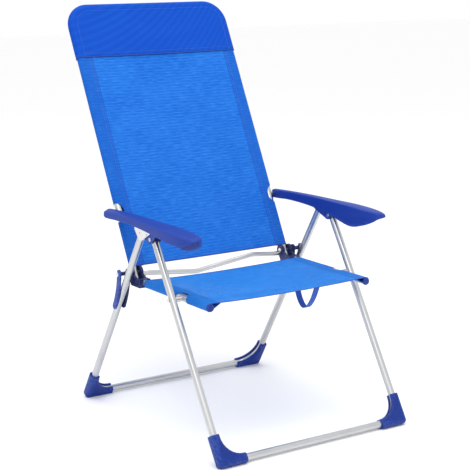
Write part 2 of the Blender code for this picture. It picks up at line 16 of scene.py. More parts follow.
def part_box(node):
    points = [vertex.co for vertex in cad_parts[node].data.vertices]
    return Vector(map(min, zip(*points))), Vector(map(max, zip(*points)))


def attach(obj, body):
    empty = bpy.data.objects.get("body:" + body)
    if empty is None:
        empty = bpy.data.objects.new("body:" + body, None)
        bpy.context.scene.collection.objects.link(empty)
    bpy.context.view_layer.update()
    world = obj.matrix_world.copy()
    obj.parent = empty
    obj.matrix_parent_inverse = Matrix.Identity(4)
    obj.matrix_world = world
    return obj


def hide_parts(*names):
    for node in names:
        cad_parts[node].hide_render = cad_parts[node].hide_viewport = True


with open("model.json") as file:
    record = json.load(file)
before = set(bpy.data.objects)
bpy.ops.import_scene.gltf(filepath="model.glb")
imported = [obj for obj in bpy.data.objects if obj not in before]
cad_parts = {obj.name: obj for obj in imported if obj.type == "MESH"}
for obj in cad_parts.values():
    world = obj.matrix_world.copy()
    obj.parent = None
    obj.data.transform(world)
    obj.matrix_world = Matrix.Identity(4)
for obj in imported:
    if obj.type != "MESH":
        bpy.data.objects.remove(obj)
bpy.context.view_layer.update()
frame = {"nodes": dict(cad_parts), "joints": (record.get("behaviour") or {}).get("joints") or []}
nodes = frame["nodes"]
pivots = {joint["name"]: Vector(joint["pos_m"]) for joint in frame["joints"]}

# ---- Places taken from the frame ----
rail_low, rail_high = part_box("seat_rail_left")
leg_low, leg_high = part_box("front_leg_frame")
rear_low, rear_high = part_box("rear_leg_frame")
back_low, back_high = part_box("back_frame_tube")

TUBE_R = (rail_high.x - rail_low.x) / 2
RAIL_X = (rail_high.x + rail_low.x) / 2
RAIL_Z = (rail_high.z + rail_low.z) / 2
LEG_X = leg_high.x - TUBE_R
HINGE, LEG_PIN, ARM_PIN = (pivots[j] for j in ("back_fold", "front_leg_fold", "armrest_fold"))
REAR_PIN = pivots["rear_leg_fold"]
FRONT_PIN = LEG_PIN + ARM_PIN - HINGE

# ---- Sizes ----
BACK_SLOPE = 0.502             # run of the back per metre of rise
BACK_CORNER_R = 0.055
LEG_CORNER_R = 0.065
LEG_OVERRUN = 0.008            # leg tube past its upper pin
TUBE_WALL = 0.0013
TUBE_BORE = 0.006              # depth of a tube's open end
BAR_STUB = 0.022               # straight end of a crossbar, next to its rail
BAR_BEND_R = 0.10
FRONT_BAR_R = 0.0080
FRONT_BAR_BENDS = ((-0.107, -0.005), (0.107, -0.005))   # x, and z from the bar's ends
REAR_BAR_R = 0.0066
REAR_BAR_Z = 0.390
REAR_BAR_BENDS = ((-0.055, -0.016), (0.135, 0.008))

CLOTH_T = 0.0007
CLOTH_R = TUBE_R + 0.0010      # sleeve radius, to the middle of the cloth
SLEEVE_IN = 0.041              # outer edge of a sling to its sleeve seam
SLEEVE_SEAM = RAIL_X + CLOTH_R - SLEEVE_IN
SLEEVE_TURN = pi - 0.30        # angle that a sleeve follows its tube
LAYER_GAP = 0.0012             # between a sleeve's two layers at the seam
BACK_SAG = 0.0075
SEAT_SAG = 0.0095
BACK_CLOTH_LOW = 0.036         # the tubes' lower ends to the cloth
BACK_CLOTH_TOP = 0.004         # the cloth to the start of the corner bends
BACK_NOTCH_R = 0.0265
BACK_NOTCH_RISE = 0.003        # centre above the armrest's pin
SEAT_NOTCH_R = 0.0250
SEAT_NOTCH_SHIFT = 0.002       # centre behind the leg's pin

HOOD_R = TUBE_R + 0.0034
HOOD_DEPTH = 0.146
HOOD_T = 0.0009
HOOD_DIP = 0.0042              # hollow of its faces between the tubes
HOOD_CREASE = 0.0007
HOOD_SEAM_IN = 0.022           # rim to its row of stitches
HOOD_HEM_IN = 0.010
HOOD_ROW_SHORT = 0.004         # the hem's row of stitches to the tube's axis
HOOD_THREAD_LIFT = 0.0007

HEM_SIZE = (0.0042, 0.0020)    # width and thickness of the rolled hems
HOOD_HEM_SIZE = (0.0026, 0.0019)
HEM_STEP = 0.004
HEM_SHORT = 0.001              # a hem's end to the cut edge of its cloth
STITCH_PITCH = 0.0044
THREAD_R = 0.00042
THREAD_LIFT = 0.0006
STITCH_DIP = 0.0005            # how far a stitch's ends go into the cloth
HEM_IN = 0.011                 # open edge of a sling to its row of stitches
SEAM_IN = 0.003                # sleeve seam to its first row of stitches
ROW_GAP = 0.006                # between a seam's two rows
ROW_STEP = 0.006
ROW_SHORT = 0.006              # a hem's row of stitches to the sling's outermost line

STRAP_HALF_T = 0.0009
STRAP_SIDE_GAP = 0.0002        # from the sides of its CAD node
STRAP_KNOTS = ((0.0, 1.0), (0.052, 0.699), (0.259, 0.249), (0.517, 0.0),
               (0.741, 0.104), (0.914, 0.458), (1.0, 1.0))    # shares of its box in y and z

ARM_STATIONS = (               # y, centre x, half width, outer and inner skirt z, top z
    (0.1600, 0.2795, 0.0124, 0.5445, 0.5440, 0.5565),
    (0.1540, 0.2795, 0.0130, 0.5415, 0.5410, 0.5580),
    (0.1400, 0.2800, 0.0135, 0.5380, 0.5365, 0.5595),
    (0.0720, 0.2830, 0.0155, 0.5420, 0.5400, 0.5625),
    (-0.0230, 0.2865, 0.0185, 0.5440, 0.5375, 0.5645),
    (-0.1080, 0.2890, 0.0220, 0.5410, 0.5290, 0.5645),
    (-0.1680, 0.2910, 0.0250, 0.5370, 0.5150, 0.5645),
    (-0.2140, 0.2920, 0.0262, 0.5330, 0.5090, 0.5635),
    (-0.2600, 0.2925, 0.0250, 0.5330, 0.5190, 0.5615),
    (-0.2950, 0.2920, 0.0195, 0.5410, 0.5330, 0.5595),
    (-0.3140, 0.2915, 0.0140, 0.5490, 0.5460, 0.5570),
)
ARM_WALL = 0.0028
ARM_REAR_ROUND = 0.0105        # rounding of the ends, seen from above
ARM_FRONT_ROUND = 0.0095
ARM_END_DROP = 0.0035
ARM_INNER_EDGE_R = 0.0034
ARM_OUTER_EDGE_R = 0.0085
ARM_CROWN = 0.0016
ARM_CAMBER = 0.0022            # fall of the top towards its outer edge

PLATE_OUTLINE = ((-0.0300, 0.5450), (-0.0300, 0.5370), (-0.0500, 0.5130), (-0.0560, 0.5105),
                 (-0.0700, 0.5140), (-0.0900, 0.5270), (-0.1150, 0.5410), (-0.1150, 0.5450))
PLATE_T = 0.0012
PLATE_GAP = 0.0003             # rivet head to the plate over it
PLATE_RIVETS = ((-0.0566, 0.5314), (-0.0906, 0.5320))
RIVET_R = 0.0026

WEAVE_PITCH = 0.0015
MOIRE_ACROSS = 31.0            # bands to the metre across the hood, at its middle
MOIRE_BEND = 47.0              # how fast that number grows to the right
MOIRE_ALONG = 45.0             # bands to the metre along the hood

UP_BACK = Vector((0, BACK_SLOPE, 1)).normalized()
OUT_BACK = Vector((0, -UP_BACK.z, UP_BACK.y))
BACK_TOP = Vector((0, back_high.y - TUBE_R, back_high.z - TUBE_R))
BACK_FOOT_Z = back_low.z + TUBE_R * UP_BACK.y
BACK_LENGTH = (BACK_TOP.z - BACK_FOOT_Z) / UP_BACK.z
BACK_FOOT = BACK_TOP - UP_BACK * BACK_LENGTH


# ---- Camera, floor and light ----
def look_from(place, direction, lens):
    data = bpy.data.cameras.new("camera")
    data.lens, data.sensor_width = lens, 36.0
    camera = bpy.data.objects.new("camera", data)
    bpy.context.scene.collection.objects.link(camera)
    camera.location = place
    camera.rotation_mode = "QUATERNION"
    camera.rotation_quaternion = Vector(direction).to_track_quat("-Z", "Y")
    bpy.context.scene.camera = camera


VIEW_PLACE = (-2.118, -3.1403, 1.272)
VIEW_AZIMUTH, VIEW_DROP = radians(-34.393), radians(11.805)
VIEW_LENS = 108.61
look_from(VIEW_PLACE,
          (-sin(VIEW_AZIMUTH) * cos(VIEW_DROP), cos(VIEW_AZIMUTH) * cos(VIEW_DROP), -sin(VIEW_DROP)),
          VIEW_LENS)
bpy.context.scene.view_settings.view_transform = "Standard"


# ---- Material helpers ----
class Tree:
    """A material's node tree, with short calls for the nodes used here."""

    def __init__(self, name, roughness=0.5, metallic=0.0, **settings):
        self.material = bpy.data.materials.new(name)
        self.material.use_nodes = True
        self.tree = self.material.node_tree
        self.shader = self.tree.nodes["Principled BSDF"]
        self.shader.inputs["Roughness"].default_value = roughness
        self.shader.inputs["Metallic"].default_value = metallic
        for socket, value in settings.items():
            self.shader.inputs[socket.replace("_", " ")].default_value = value

    def add(self, kind, **settings):
        made = self.tree.nodes.new("ShaderNode" + kind)
        for key, value in settings.items():
            setattr(made, key, value)
        return made

    def link(self, source, target):
        self.tree.links.new(source, target)

    def feed(self, socket, value):
        if isinstance(value, bpy.types.NodeSocket):
            self.link(value, socket)
        elif value is not None:
            socket.default_value = value

    def place(self, kind="Object"):
        """Coordinates in metres: Object, or the cloth's own from its UV map."""
        if kind == "UV":
            return self.add("UVMap", uv_map="metres").outputs["UV"]
        return self.add("TexCoord").outputs[kind]

    def stretched(self, source, scale):
        mapping = self.add("Mapping")
        self.link(source, mapping.inputs["Vector"])
        mapping.inputs["Scale"].default_value = scale
        return mapping.outputs["Vector"]

    def noise(self, source, scale, detail=3.0, distortion=0.0):
        made = self.add("TexNoise")
        self.link(source, made.inputs["Vector"])
        made.inputs["Scale"].default_value = scale
        made.inputs["Detail"].default_value = detail
        made.inputs["Distortion"].default_value = distortion
        return made.outputs["Fac"]

    def cells(self, source, scale, feature="F1"):
        made = self.add("TexVoronoi", feature=feature)
        self.link(source, made.inputs["Vector"])
        made.inputs["Scale"].default_value = scale
        return made.outputs["Distance"]

    def waves(self, source, scale, direction="X", distortion=0.0, detail=1.0, detail_scale=1.0):
        made = self.add("TexWave", bands_direction=direction)
        self.link(source, made.inputs["Vector"])
        for socket, value in (("Scale", scale), ("Distortion", distortion), ("Detail", detail),
                              ("Detail Scale", detail_scale)):
            made.inputs[socket].default_value = value
        return made.outputs["Fac"]

    def maths(self, operation, first, second=None, third=None):
        made = self.add("Math", operation=operation)
        for socket, value in zip(made.inputs, (first, second, third)):
            self.feed(socket, value)
        return made.outputs[0]

    def span(self, value, low, high, to_low=0.0, to_high=1.0):
        made = self.add("MapRange", clamp=True)
        for socket, item in zip(made.inputs, (value, low, high, to_low, to_high)):
            self.feed(socket, item)
        return made.outputs[0]

    def mix(self, share, first, second):
        made = self.add("Mix", data_type="RGBA")
        self.feed(made.inputs[0], share)
        for socket, value in ((made.inputs[6], first), (made.inputs[7], second)):
            self.feed(socket, value if isinstance(value, bpy.types.NodeSocket) else (*value, 1.0))
        return made.outputs[2]

    def bump(self, height, distance, strength=1.0, normal=None):
        made = self.add("Bump")
        made.inputs["Strength"].default_value = strength
        made.inputs["Distance"].default_value = distance
        self.link(height, made.inputs["Height"])
        if normal:
            self.link(normal, made.inputs["Normal"])
        return made.outputs["Normal"]

    def split(self, source):
        made = self.add("SeparateXYZ")
        self.link(source, made.inputs[0])
        return made.outputs

    def finish(self, colour=None, roughness=None, normal=None, alpha=None):
        for name, value in (("Base Color", colour), ("Roughness", roughness), ("Normal", normal),
                            ("Alpha", alpha)):
            if value:
                self.link(value, self.shader.inputs[name])
        return self.material


# ---- Materials ----
def drawn_metal(name, light, dark, roughness):
    """Drawn tube: fine lines along its length, soft smudges, small scuffs and dull handling marks."""
    t = Tree(name, metallic=1.0)
    along, solid = t.place("UV"), t.place()
    lines = t.noise(t.stretched(along, (2600.0, 14.0, 1.0)), 1.0, 2.0)
    smudge = t.noise(solid, 9.0, 4.0, 0.6)
    nicks = t.span(t.cells(t.stretched(along, (60.0, 24.0, 1.0)), 1.0), 0.02, 0.07, 1.0, 0.0)
    scuffs = t.maths("MULTIPLY", nicks, t.span(t.noise(solid, 21.0, 2.0), 0.52, 0.66))
    tone = t.maths("ADD", t.maths("MULTIPLY", lines, 0.55), t.maths("MULTIPLY", smudge, 0.45))
    colour = t.mix(t.span(tone, 0.30, 0.72), dark, light)
    colour = t.mix(t.maths("MULTIPLY", scuffs, 0.25), colour, (0.30, 0.30, 0.31))
    rough = t.maths("ADD", t.span(smudge, 0.3, 0.75, roughness * 0.75, roughness * 1.35),
                    t.maths("MULTIPLY", scuffs, 0.25))
    height = t.maths("SUBTRACT", lines, t.maths("MULTIPLY", scuffs, 2.0))
    return t.finish(colour, rough, t.bump(height, 0.00006, 0.5))


def plated(name, light, dark, roughness):
    """Zinc plate on small turned and pressed pieces: mottled, with rubbed edges."""
    t = Tree(name, metallic=1.0)
    solid = t.place()
    mottle = t.noise(solid, 420.0, 3.0, 0.8)
    turned = t.noise(t.stretched(solid, (60.0, 2400.0, 2400.0)), 1.0, 2.0)
    worn = t.span(t.add("NewGeometry").outputs["Pointiness"], 0.50, 0.60)
    colour = t.mix(worn, t.mix(mottle, dark, light), (0.86, 0.86, 0.87))
    rough = t.span(mottle, 0.3, 0.7, roughness * 0.8, roughness * 1.3)
    return t.finish(colour, rough, t.bump(turned, 0.00005, 0.4))


def moulded(name, colour, deep, rubbed, roughness, grain=900.0):
    """Moulded plastic: spark-eroded grain, faint flow marks, and edges rubbed paler."""
    t = Tree(name, Specular_IOR_Level=0.22)
    solid = t.place()
    fine = t.cells(solid, grain, "SMOOTH_F1")
    flow = t.noise(t.stretched(solid, (30.0, 7.0, 30.0)), 1.0, 4.0, 1.2)
    scratch = t.span(t.noise(t.stretched(solid, (240.0, 16.0, 240.0)), 1.0, 2.0), 0.60, 0.72)
    worn = t.span(t.add("NewGeometry").outputs["Pointiness"], 0.515, 0.60)
    worn = t.maths("MULTIPLY", worn, t.span(t.noise(solid, 130.0, 3.0), 0.35, 0.60))
    shade = t.mix(t.span(flow, 0.32, 0.70), deep, colour)
    shade = t.mix(t.maths("MULTIPLY", scratch, 0.20), shade, rubbed)
    shade = t.mix(t.maths("MULTIPLY", worn, 0.75), shade, rubbed)
    rough = t.maths("ADD", t.span(flow, 0.3, 0.7, roughness * 0.9, roughness * 1.12),
                    t.maths("MULTIPLY", worn, -0.08))
    normal = t.bump(fine, 0.00022, 0.5)
    return t.finish(shade, rough, t.bump(scratch, 0.00003, 0.5, normal))


def woven(name, thread, shadow, bright, open_share, moire=0.0, streak=1.0, sleeve=None):
    """Plastic-coated mesh cloth: a plain weave of round threads, with open pores between them.

    moire is the depth of the slanting bands that two close layers of such cloth show. Past sleeve,
    the distance from the cloth's middle line to its sleeve seams, it is two layers: the pores are
    closed there, and the colour is darkened toward shadow as painted shade, with a thin painted
    shadow line along each seam.
    """
    t = Tree(name, roughness=0.66, Sheen_Weight=0.03, Sheen_Roughness=0.45,
             Sheen_Tint=(0.3, 0.6, 1.0, 1.0), Specular_IOR_Level=0.12)
    cloth = t.place("UV")
    across, along = t.split(cloth)[0:2]
    turn = 2 * pi / WEAVE_PITCH

    def threads(coordinate, phase):
        angle = t.maths("MULTIPLY_ADD", coordinate, turn, phase)
        return t.maths("MULTIPLY_ADD", t.maths("SINE", angle), 0.5, 0.5)

    warp, weft = threads(across, 0.0), threads(along, 0.0)
    over = t.maths("SINE", t.maths("MULTIPLY", across, turn / 2))
    under = t.maths("SINE", t.maths("MULTIPLY", along, turn / 2))
    crossing = t.maths("MULTIPLY", over, under)
    body = t.maths("MAXIMUM", warp, weft)
    height = t.maths("MULTIPLY_ADD", crossing, 0.35, body)
    pore = t.span(body, 0.16, 0.42, 1.0, 0.0)

    slub = t.noise(t.stretched(cloth, (34.0, 520.0, 1.0)), 1.0, 1.0)
    rows = t.waves(cloth, 36.0, "Y", 1.6, 1.0, 3.0)
    patch = t.noise(t.stretched(cloth, (5.0, 9.0, 1.0)), 1.0, 2.0, 0.3)
    fleck = t.maths("MULTIPLY_ADD", t.span(rows, 0.3, 0.9), 0.5, t.span(slub, 0.44, 0.64))
    light = t.maths("ADD", t.maths("MULTIPLY", fleck, 0.42 * streak),
                    t.span(patch, 0.35, 0.7, 0.0, 0.22))
    if moire:
        steep = t.maths("MULTIPLY_ADD", across, MOIRE_BEND, MOIRE_ACROSS)
        rises = t.maths("MULTIPLY", along, -MOIRE_ALONG)
        turns = t.maths("MULTIPLY_ADD", across, steep, rises)
        bands = t.maths("MULTIPLY_ADD", t.maths("SINE", t.maths("MULTIPLY", turns, 2 * pi)), 0.5, 0.5)
        light = t.maths("ADD", light, t.span(bands, 0.0, 1.0, -moire, moire * 0.5))
    colour = t.mix(light, thread, bright)
    colour = t.mix(t.maths("MULTIPLY", t.span(height, 0.25, 0.85, 1.0, 0.0), 0.55), colour, shadow)
    if sleeve:
        off_middle = t.maths("ABSOLUTE", across)
        double_layer_and_shade = t.span(off_middle, sleeve - 0.0010, sleeve + 0.0010)
        off_seam = t.maths("ABSOLUTE", t.maths("SUBTRACT", off_middle, sleeve))
        crease = t.span(off_seam, 0.0006, 0.0022, 1.0, 0.0)
        # painted shade: past the sleeve seams the cloth is darkened toward shadow; the closed pores below
        # are the real second layer
        colour = t.mix(t.maths("MULTIPLY", double_layer_and_shade, 0.45), colour, shadow)
        # painted shadow: a thin dark line along each sleeve seam
        colour = t.mix(t.maths("MULTIPLY", crease, 0.45), colour, shadow)
        pore = t.maths("MULTIPLY", pore, t.maths("SUBTRACT", 1.0, double_layer_and_shade))
    rough = t.span(crossing, -1.0, 1.0, 0.74, 0.56)
    alpha = t.maths("SUBTRACT", 1.0, t.maths("MULTIPLY", pore, open_share)) if open_share else None
    return t.finish(colour, rough, t.bump(height, 0.00025, 0.75), alpha)


def webbed(name, colour, shadow, rib=0.0019):
    """Flat webbing or binding tape: ribs across the tape in a broken twill."""
    t = Tree(name, roughness=0.7, Sheen_Weight=0.25, Sheen_Roughness=0.4,
             Sheen_Tint=(0.5, 0.7, 1.0, 1.0))
    cloth = t.place("UV")
    across, along = t.split(cloth)[0:2]
    slant = t.maths("ADD", t.maths("MULTIPLY", across, 2 * pi / rib),
                    t.maths("MULTIPLY", along, 2 * pi / (rib * 0.8)))
    ribs = t.maths("MULTIPLY_ADD", t.maths("SINE", slant), 0.5, 0.5)
    yarn = t.maths("MULTIPLY_ADD", t.maths("SINE", t.maths("MULTIPLY", along, 2 * pi / (rib * 0.42))),
                   0.5, 0.5)
    height = t.maths("MULTIPLY_ADD", yarn, 0.4, ribs)
    fuzz = t.noise(cloth, 800.0, 4.0)
    shade = t.mix(t.span(height, 0.1, 1.1), shadow, colour)
    shade = t.mix(t.span(fuzz, 0.5, 0.8, 0.0, 0.35), shade, tuple(min(1.0, c * 1.7 + 0.01) for c in colour))
    return t.finish(shade, t.span(fuzz, 0.3, 0.7, 0.6, 0.82), t.bump(height, 0.0003, 0.7))


def twisted(name, colour, shadow):
    """Sewing thread, twisted from fine yarns."""
    t = Tree(name, roughness=0.45, Sheen_Weight=0.3)
    solid = t.place()
    strands = t.waves(solid, 900.0, "DIAGONAL", 1.5, 1.0)
    return t.finish(t.mix(strands, shadow, colour), None, t.bump(strands, 0.0001, 0.6))


def pale_floor(name):
    t = Tree(name, roughness=0.6)
    speckle = t.noise(t.place(), 60.0, 4.0)
    return t.finish(t.mix(speckle, (0.965, 0.965, 0.967), (0.985, 0.985, 0.985)))


ALUMINIUM = drawn_metal("aluminium", (0.64, 0.645, 0.655), (0.47, 0.475, 0.485), 0.33)
STEEL = plated("plated_steel", (0.62, 0.62, 0.63), (0.40, 0.40, 0.41), 0.30)
PLATE = plated("bracket_metal", (0.70, 0.695, 0.68), (0.54, 0.535, 0.52), 0.36)
DARK_RIVET = plated("dark_rivet", (0.16, 0.16, 0.17), (0.07, 0.07, 0.08), 0.4)
ARM_PLASTIC = moulded("blue_plastic", (0.010, 0.042, 0.30), (0.008, 0.036, 0.275), (0.05, 0.10, 0.38),
                      0.50, 1100.0)
FOOT_PLASTIC = moulded("blue_foot_plastic", (0.005, 0.027, 0.22), (0.004, 0.022, 0.19),
                       (0.04, 0.09, 0.36), 0.44, 800.0)
DARK_PLASTIC = moulded("dark_blue_plastic", (0.005, 0.009, 0.070), (0.003, 0.006, 0.050),
                       (0.03, 0.05, 0.18), 0.40, 800.0)
LEVER_PLASTIC = moulded("blue_lever_plastic", (0.018, 0.045, 0.29), (0.014, 0.036, 0.25),
                        (0.09, 0.15, 0.48), 0.36, 800.0)
MESH_CLOTH = woven("mesh_cloth", (0.002, 0.105, 0.52), (0.001, 0.060, 0.37), (0.030, 0.235, 0.76), 0.16,
                   streak=1.2, sleeve=SLEEVE_SEAM)
# painted light: the seat uses the same mesh cloth as the back, in lighter colours for the light it catches
LIT_SEAT_CLOTH = woven("seat_mesh_cloth_painted_light", (0.004, 0.165, 0.62), (0.001, 0.090, 0.42), (0.055, 0.330, 0.86),
                   0.85, streak=1.0, sleeve=SLEEVE_SEAM)
HOOD_CLOTH = woven("hood_cloth", (0.0002, 0.060, 0.45), (0.0001, 0.036, 0.30), (0.001, 0.110, 0.58),
                   0.0, moire=0.24, streak=0.35)
# painted shade: the hems are coloured a deeper blue than the cloth they are folded from
SHADED_BINDING = webbed("blue_binding_painted_shade", (0.003, 0.055, 0.40), (0.001, 0.025, 0.23))
WEBBING = webbed("blue_webbing", (0.006, 0.095, 0.52), (0.003, 0.045, 0.30), 0.0026)
THREAD = twisted("blue_thread", (0.012, 0.125, 0.58), (0.004, 0.06, 0.36))
HOOD_THREAD = twisted("hood_thread", (0.001, 0.085, 0.50), (0.0005, 0.05, 0.36))


# ---- Mesh helpers ----
def add_piece(name, bm, material, body, replaced=(), normals=True):
    if normals:
        bmesh.ops.recalc_face_normals(bm, faces=bm.faces)
    mesh = bpy.data.meshes.new(name)
    bm.to_mesh(mesh)
    bm.free()
    mesh.materials.append(material)
    mesh.shade_smooth()
    mesh.set_sharp_from_angle(angle=radians(42))
    piece = bpy.data.objects.new(name, mesh)
    bpy.context.scene.collection.objects.link(piece)
    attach(piece, body)
    if replaced:
        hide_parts(*replaced)
    return piece


def soften(piece, width, angle):
    """Rounds a piece's edges that are sharper than angle, in degrees."""
    edge = piece.modifiers.new("edge", "BEVEL")
    edge.width, edge.segments, edge.limit_method = width, 2, "ANGLE"
    edge.angle_limit = radians(angle)


def filleted(corners, radius, steps=14):
    """Polyline through corners, with each inner corner rounded to an arc of the given radius."""
    points = [Vector(corners[0])]
    for before, corner, after in zip(corners, corners[1:], corners[2:]):
        corner = Vector(corner)
        into = (Vector(before) - corner).normalized()
        out = (Vector(after) - corner).normalized()
        half = into.angle(out) / 2
        centre = corner + (into + out).normalized() * (radius / sin(half))
        start = corner + into * (radius / sin(half) * cos(half)) - centre
        axis = start.cross(into).normalized()
        for step in range(steps + 1):
            points.append(centre + Matrix.Rotation(-(pi - 2 * half) * step / steps, 3, axis) @ start)
    points.append(Vector(corners[-1]))
    return points


def even_route(points, step):
    """The polyline with long runs divided, so that no run is longer than step."""
    route = [points[0]]
    for here, there in zip(points, points[1:]):
        count = max(1, round((there - here).length / step))
        route += [here.lerp(there, k / count) for k in range(1, count + 1)]
    return route


def swept(bm, route, section, start_normal=None):
    """Rings of a (side, up) section carried along a route without twist. Returns the rings."""
    uv = bm.loops.layers.uv.get("metres") or bm.loops.layers.uv.new("metres")
    tangents = []
    for i in range(len(route)):
        ahead = route[min(i + 1, len(route) - 1)] - route[max(i - 1, 0)]
        tangents.append(ahead.normalized())
    normal = start_normal or (Vector((1, 0, 0)) if abs(tangents[0].x) < 0.9 else Vector((0, 0, 1)))
    rings, along = [], [0.0]
    for i, (point, tangent) in enumerate(zip(route, tangents)):
        normal = (normal - tangent * normal.dot(tangent)).normalized()
        side = tangent.cross(normal)
        rings.append([bm.verts.new(point + side * a + normal * b) for a, b in section])
        if i:
            along.append(along[-1] + (point - route[i - 1]).length)
    girth = [0.0]
    looped = list(section) + [section[0]]
    for one, two in zip(looped, looped[1:]):
        girth.append(girth[-1] + hypot(two[0] - one[0], two[1] - one[1]))
    count = len(section)
    for i in range(len(rings) - 1):
        for k in range(count):
            j = (k + 1) % count
            face = bm.faces.new((rings[i][k], rings[i][j], rings[i + 1][j], rings[i + 1][k]))
            spots = ((girth[k], along[i]), (girth[k + 1], along[i]), (girth[k + 1], along[i + 1]),
                     (girth[k], along[i + 1]))
            for loop, spot in zip(face.loops, spots):
                loop[uv].uv = spot
    return rings


def circle(radius, sides):
    return [(radius * cos(2 * pi * k / sides), radius * sin(2 * pi * k / sides)) for k in range(sides)]


def hollow_end(bm, ring, inward):
    """Closes a tube's end as a cut tube shows: its wall, then a short bore."""
    centre = sum((v.co for v in ring), Vector()) / len(ring)
    radius = (ring[0].co - centre).length
    last = ring
    scale = (radius - TUBE_WALL) / radius
    for push in (0.0, TUBE_BORE):
        made = [bm.verts.new(centre + (v.co - centre) * scale + inward * push) for v in ring]
        for k in range(len(ring)):
            j = (k + 1) % len(ring)
            bm.faces.new((last[k], last[j], made[j], made[k]))
        last = made
    bm.faces.new(last)


def tube(name, points, body, replaced, radius=TUBE_R):
    bm = bmesh.new()
    route = even_route(points, 0.03)
    rings = swept(bm, route, circle(radius, 32))
    hollow_end(bm, rings[0], (route[1] - route[0]).normalized())
    hollow_end(bm, rings[-1], (route[-2] - route[-1]).normalized())
    return add_piece(name, bm, ALUMINIUM, body, replaced)


def at(x, pivot):
    return Vector((x, pivot[1], pivot[2]))


# ---- Tubes ----
def leg_frame(name, bar, pin, body, node):
    rise = pin - bar
    top = bar + rise * (1 + LEG_OVERRUN / rise.length)
    corners = [at(x, place) for x, place in ((-LEG_X, top), (-LEG_X, bar), (LEG_X, bar), (LEG_X, top))]
    tube(name, filleted(corners, LEG_CORNER_R), body, [node])


FRONT_BAR = Vector((0, leg_low.y + TUBE_R, leg_low.z + TUBE_R))
REAR_BAR = Vector((0, rear_high.y - TUBE_R, rear_low.z + TUBE_R))
leg_frame("front_leg_tube", FRONT_BAR, FRONT_PIN, "front_legs", "front_leg_frame")
leg_frame("rear_leg_tube", REAR_BAR, REAR_PIN, "rear_legs", "rear_leg_frame")
tube("back_tube", filleted([at(x, place) for x, place in ((-RAIL_X, BACK_FOOT), (-RAIL_X, BACK_TOP),
                                                         (RAIL_X, BACK_TOP), (RAIL_X, BACK_FOOT))],
                           BACK_CORNER_R), "back", ["back_frame_tube"])
for word, side in (("left", 1), ("right", -1)):
    low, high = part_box(f"seat_rail_{word}")
    tube(f"seat_tube_{word}", [Vector((side * RAIL_X, high.y, RAIL_Z)),
                               Vector((side * RAIL_X, low.y, RAIL_Z))], "seat", [f"seat_rail_{word}"])


def crossbar(name, node, radius, end_z, bends):
    """Bent tube across the seat, on the route of its CAD node. bends holds (x, rise) pairs."""
    low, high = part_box(node)
    reach, y = high.x, (low.y + high.y) / 2
    stub = reach - BAR_STUB
    corners = [Vector((x, y, end_z + rise)) for x, rise in
               ((-reach, 0), (-stub, 0), *bends, (stub, 0), (reach, 0))]
    tube(name, filleted(corners, BAR_BEND_R, 8), "seat", [node], radius)


crossbar("seat_front_bar", "seat_front_crossbar", FRONT_BAR_R, RAIL_Z, FRONT_BAR_BENDS)
crossbar("seat_rear_bar", "seat_rear_crossbar", REAR_BAR_R, REAR_BAR_Z, REAR_BAR_BENDS)


